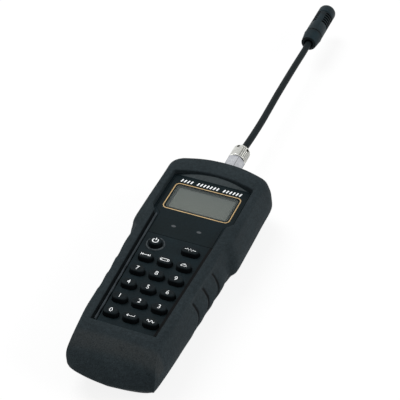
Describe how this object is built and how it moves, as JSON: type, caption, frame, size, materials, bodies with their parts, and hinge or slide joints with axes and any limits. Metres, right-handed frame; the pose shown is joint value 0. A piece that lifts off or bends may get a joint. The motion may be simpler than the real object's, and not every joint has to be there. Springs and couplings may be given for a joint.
{
  "type": "sonic belt tension tester",
  "caption": "Hand-held keypad meter in a moulded rubber boot, with a display and a slotted microphone on a bendable stem that plugs into its head.",
  "frame": {"origin": "centre of the boot's flat back, halfway between foot and head", "axes": "+X to the keypad's right, +Y from the foot to the head and along the probe, +Z out of the display face"},
  "size_m": [0.077, 0.424, 0.0395],
  "materials": {
    "rubber": "matt moulded rubber",
    "housing": "fine matt moulded plastic",
    "label_plate": "printed semi-gloss plate",
    "clear_window": "clear polished plastic",
    "black_plastic": "matt",
    "lcd": "grey-green reflective display",
    "diffuser": "milky white",
    "circuit_board": "green solder mask",
    "silicone": "matt silicone",
    "battery": "plain painted can",
    "nickel": "bright nickel plate",
    "steel": "zinc-plated steel",
    "stem_skin": "smooth black sleeve",
    "mic_plastic": "matt dark blue-black",
    "key_rubber": "matt black silicone rubber"
  },
  "bodies": {
    "meter": {"holster": "rubber", "housing_front": "housing", "housing_back": "housing", "display_panel": "label_plate", "display_window": "clear_window", "lcd_bezel": "black_plastic", "lcd_glass": "lcd", "lcd_backlight": "diffuser", "zebra_strip": "rubber", "main_board": "circuit_board", "keypad_mat": "silicone", "beeper": "black_plastic", "battery_block": "battery", "battery_snap": "black_plastic", "sensor_socket": "nickel", "socket_washer": "steel", "socket_nut": "nickel", "case_screw_1": "steel", "case_screw_2": "steel", "case_screw_3": "steel", "case_screw_4": "steel"},
    "key_zero": {"key_zero": "key_rubber"},
    "key_select": {"key_select": "key_rubber"},
    "key_hertz": {"key_hertz": "key_rubber"},
    "key_one": {"key_one": "key_rubber"},
    "key_two": {"key_two": "key_rubber"},
    "key_three": {"key_three": "key_rubber"},
    "key_four": {"key_four": "key_rubber"},
    "key_five": {"key_five": "key_rubber"},
    "key_six": {"key_six": "key_rubber"},
    "key_seven": {"key_seven": "key_rubber"},
    "key_eight": {"key_eight": "key_rubber"},
    "key_nine": {"key_nine": "key_rubber"},
    "key_width": {"key_width": "key_rubber"},
    "key_span": {"key_span": "key_rubber"},
    "key_mass": {"key_mass": "key_rubber"},
    "key_power": {"key_power": "key_rubber"},
    "key_measure": {"key_measure": "key_rubber"},
    "battery_door": {"battery_door": "housing"},
    "probe_plug": {"plug_body": "nickel", "plug_sleeve": "nickel", "sleeve_screw": "steel"},
    "coupling_nut": {"coupling_nut": "nickel"},
    "stem": {"gooseneck": "stem_skin"},
    "microphone": {"mic_collar": "mic_plastic", "mic_barrel": "mic_plastic", "mic_cap": "mic_plastic", "capsule_holder": "rubber", "mic_capsule": "steel"}
  },
  "joints": [
    {"name": "press_zero", "type": "slide", "parent": "meter", "child": "key_zero", "axis": [0, 0, -1], "range_m": [0, 0.0009], "stiffness_N_per_m": 1200},
    {"name": "press_select", "type": "slide", "parent": "meter", "child": "key_select", "axis": [0, 0, -1], "range_m": [0, 0.0009], "stiffness_N_per_m": 1200},
    {"name": "press_hertz", "type": "slide", "parent": "meter", "child": "key_hertz", "axis": [0, 0, -1], "range_m": [0, 0.0009], "stiffness_N_per_m": 1200},
    {"name": "press_one", "type": "slide", "parent": "meter", "child": "key_one", "axis": [0, 0, -1], "range_m": [0, 0.0009], "stiffness_N_per_m": 1200},
    {"name": "press_two", "type": "slide", "parent": "meter", "child": "key_two", "axis": [0, 0, -1], "range_m": [0, 0.0009], "stiffness_N_per_m": 1200},
    {"name": "press_three", "type": "slide", "parent": "meter", "child": "key_three", "axis": [0, 0, -1], "range_m": [0, 0.0009], "stiffness_N_per_m": 1200},
    {"name": "press_four", "type": "slide", "parent": "meter", "child": "key_four", "axis": [0, 0, -1], "range_m": [0, 0.0009], "stiffness_N_per_m": 1200},
    {"name": "press_five", "type": "slide", "parent": "meter", "child": "key_five", "axis": [0, 0, -1], "range_m": [0, 0.0009], "stiffness_N_per_m": 1200},
    {"name": "press_six", "type": "slide", "parent": "meter", "child": "key_six", "axis": [0, 0, -1], "range_m": [0, 0.0009], "stiffness_N_per_m": 1200},
    {"name": "press_seven", "type": "slide", "parent": "meter", "child": "key_seven", "axis": [0, 0, -1], "range_m": [0, 0.0009], "stiffness_N_per_m": 1200},
    {"name": "press_eight", "type": "slide", "parent": "meter", "child": "key_eight", "axis": [0, 0, -1], "range_m": [0, 0.0009], "stiffness_N_per_m": 1200},
    {"name": "press_nine", "type": "slide", "parent": "meter", "child": "key_nine", "axis": [0, 0, -1], "range_m": [0, 0.0009], "stiffness_N_per_m": 1200},
    {"name": "press_width", "type": "slide", "parent": "meter", "child": "key_width", "axis": [0, 0, -1], "range_m": [0, 0.0009], "stiffness_N_per_m": 1200},
    {"name": "press_span", "type": "slide", "parent": "meter", "child": "key_span", "axis": [0, 0, -1], "range_m": [0, 0.0009], "stiffness_N_per_m": 1200},
    {"name": "press_mass", "type": "slide", "parent": "meter", "child": "key_mass", "axis": [0, 0, -1], "range_m": [0, 0.0009], "stiffness_N_per_m": 1200},
    {"name": "press_power", "type": "slide", "parent": "meter", "child": "key_power", "axis": [0, 0, -1], "range_m": [0, 0.0009], "stiffness_N_per_m": 1200},
    {"name": "press_measure", "type": "slide", "parent": "meter", "child": "key_measure", "axis": [0, 0, -1], "range_m": [0, 0.0009], "stiffness_N_per_m": 1200},
    {"name": "battery_door_lift", "type": "slide", "parent": "meter", "child": "battery_door", "axis": [0, 0, -1], "range_m": [0, 0.012]},
    {"name": "probe_unplug", "type": "slide", "parent": "meter", "child": "probe_plug", "axis": [0, 1, 0], "range_m": [0, 0.014]},
    {"name": "coupling_nut_turn", "type": "hinge", "parent": "probe_plug", "child": "coupling_nut", "pos_m": [0, 0.11, 0.0224], "axis": [0, 1, 0], "continuous": true},
    {"name": "stem_bend_low", "type": "hinge", "parent": "probe_plug", "child": "stem", "pos_m": [0, 0.17, 0.0224], "axis": [1, 0, 0], "range_deg": [-45, 50], "deforming": ["gooseneck"]},
    {"name": "stem_bend_high", "type": "hinge", "parent": "stem", "child": "microphone", "pos_m": [0, 0.24, 0.0224], "axis": [1, 0, 0], "range_deg": [-50, 60], "deforming": ["gooseneck"]}
  ]
}
